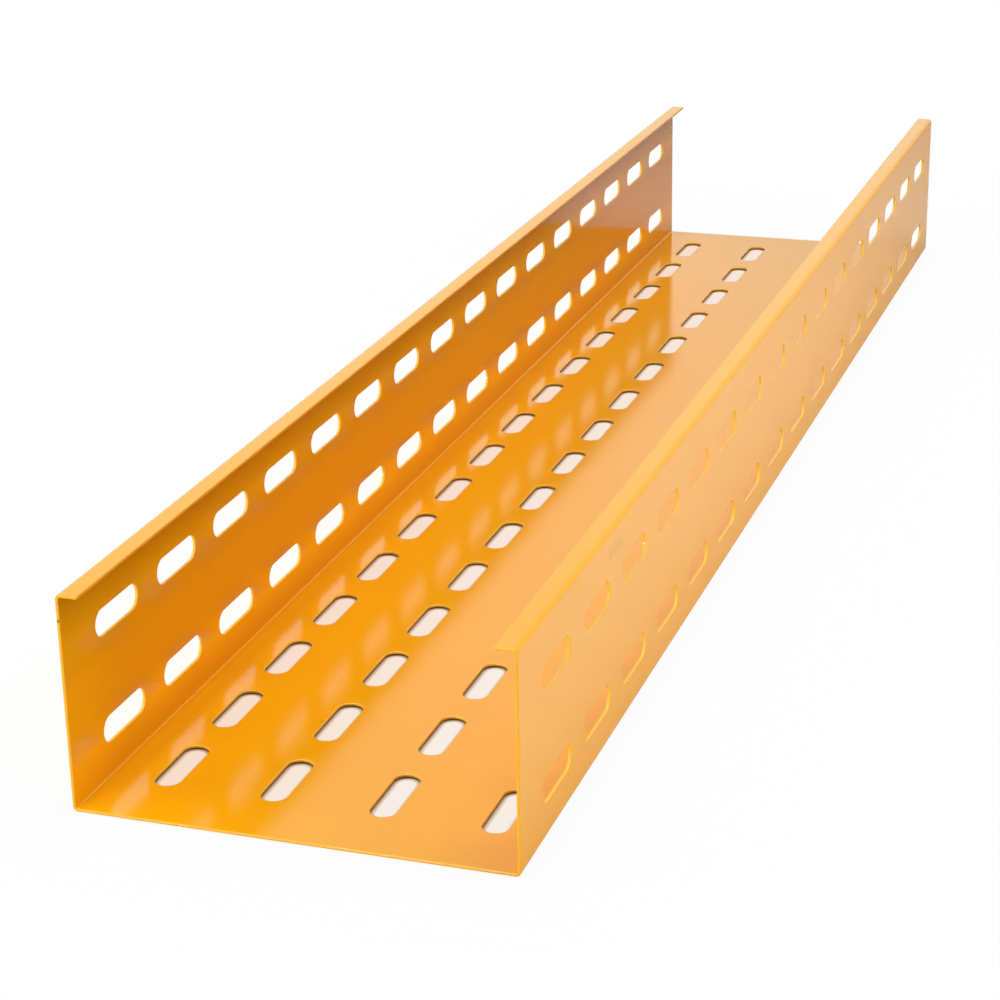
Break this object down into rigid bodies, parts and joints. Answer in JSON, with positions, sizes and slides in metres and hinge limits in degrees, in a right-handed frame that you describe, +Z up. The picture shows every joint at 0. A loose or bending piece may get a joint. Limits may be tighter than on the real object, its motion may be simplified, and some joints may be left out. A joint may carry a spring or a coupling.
{
  "type": "perforated cable tray",
  "caption": "Straight open channel folded from one slotted sheet, with a lip turned inwards along each wall, which carries runs of cable and bolts to brackets and splice plates.",
  "frame": {"origin": "underside of the floor, at the middle of the length and of the width", "axes": "+X along the tray, +Y towards the left wall as seen from the end at -X, +Z up out of the open mouth"},
  "size_m": [1, 0.2, 0.1],
  "materials": {
    "powder_coat": "glossy orange-yellow powder coat on steel"
  },
  "bodies": {
    "root": {"tray": "powder_coat"}
  },
  "joints": []
}
